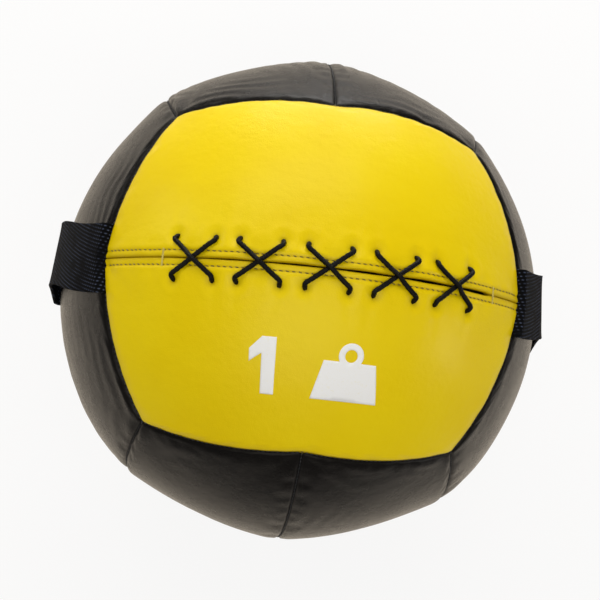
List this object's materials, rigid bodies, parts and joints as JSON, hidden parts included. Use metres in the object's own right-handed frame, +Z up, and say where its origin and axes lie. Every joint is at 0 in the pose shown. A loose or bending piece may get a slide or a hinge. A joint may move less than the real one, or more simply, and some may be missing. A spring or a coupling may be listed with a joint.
{
  "type": "medicine ball",
  "caption": "Soft round training ball with a laced filling slit in its coloured face and a webbing handle on each side.",
  "frame": {"origin": "on the floor under the centre of the ball as it lies with its laced face up", "axes": "+Z up, out of the laced face; +X along the laced seam towards the right handle; +Y towards the top panels"},
  "size_m": [0.3584, 0.35, 0.3526],
  "materials": {
    "yellow_leather": "satin",
    "black_leather": "satin",
    "black_webbing": "matte",
    "black_cord": "matte",
    "yellow_thread": "matte",
    "black_thread": "matte",
    "white_print": "matte",
    "grey_foam": "matte",
    "lining_cloth": "matte",
    "fibre_filling": "matte",
    "sand": "matte"
  },
  "bodies": {
    "ball": {"back_lower_foam": "grey_foam", "back_lower_panel": "yellow_leather", "back_lower_seam_thread": "black_thread", "back_mid_thread": "black_thread", "back_upper_foam": "grey_foam", "back_upper_panel": "yellow_leather", "back_upper_seam_thread": "black_thread", "bottom_left_foam": "grey_foam", "bottom_left_panel": "black_leather", "bottom_mid_thread": "black_thread", "bottom_right_foam": "grey_foam", "bottom_right_panel": "black_leather", "filling_back": "fibre_filling", "filling_front": "fibre_filling", "front_lower_foam": "grey_foam", "front_lower_panel": "yellow_leather", "front_lower_seam_thread": "black_thread", "front_upper_foam": "grey_foam", "front_upper_panel": "yellow_leather", "front_upper_seam_thread": "black_thread", "lace": "black_cord", "lacing_tongue": "black_leather", "left_back_foam": "grey_foam", "left_back_panel": "black_leather", "left_bar_tack": "yellow_thread", "left_front_foam": "grey_foam", "left_front_panel": "black_leather", "left_handle_back_tab": "black_webbing", "left_handle_front_tab": "black_webbing", "left_lower_corner_thread": "black_thread", "left_lower_mid_thread": "black_thread", "left_upper_corner_thread": "black_thread", "left_upper_mid_thread": "black_thread", "lining_bag": "lining_cloth", "pouch_tie": "black_cord", "right_back_foam": "grey_foam", "right_back_panel": "black_leather", "right_bar_tack": "yellow_thread", "right_front_foam": "grey_foam", "right_front_panel": "black_leather", "right_handle_back_tab": "black_webbing", "right_handle_front_tab": "black_webbing", "right_lower_corner_thread": "black_thread", "right_lower_mid_thread": "black_thread", "right_upper_corner_thread": "black_thread", "right_upper_mid_thread": "black_thread", "sand_ballast": "sand", "sand_pouch": "lining_cloth", "top_left_foam": "grey_foam", "top_left_panel": "black_leather", "top_mid_thread": "black_thread", "top_right_foam": "grey_foam", "top_right_panel": "black_leather", "topstitch_lower": "yellow_thread", "topstitch_upper": "yellow_thread", "weight_mark_numeral": "white_print", "weight_mark_pictogram": "white_print"},
    "left_handle": {"left_handle": "black_webbing"},
    "right_handle": {"right_handle": "black_webbing"}
  },
  "joints": [
    {"name": "left_handle_lift", "type": "slide", "parent": "ball", "child": "left_handle", "axis": [-0.9429, 0, 0.333], "range_m": [0, 0.008], "stiffness_N_per_m": 150},
    {"name": "right_handle_lift", "type": "slide", "parent": "ball", "child": "right_handle", "axis": [0.9429, 0, 0.333], "range_m": [0, 0.008], "stiffness_N_per_m": 150}
  ]
}
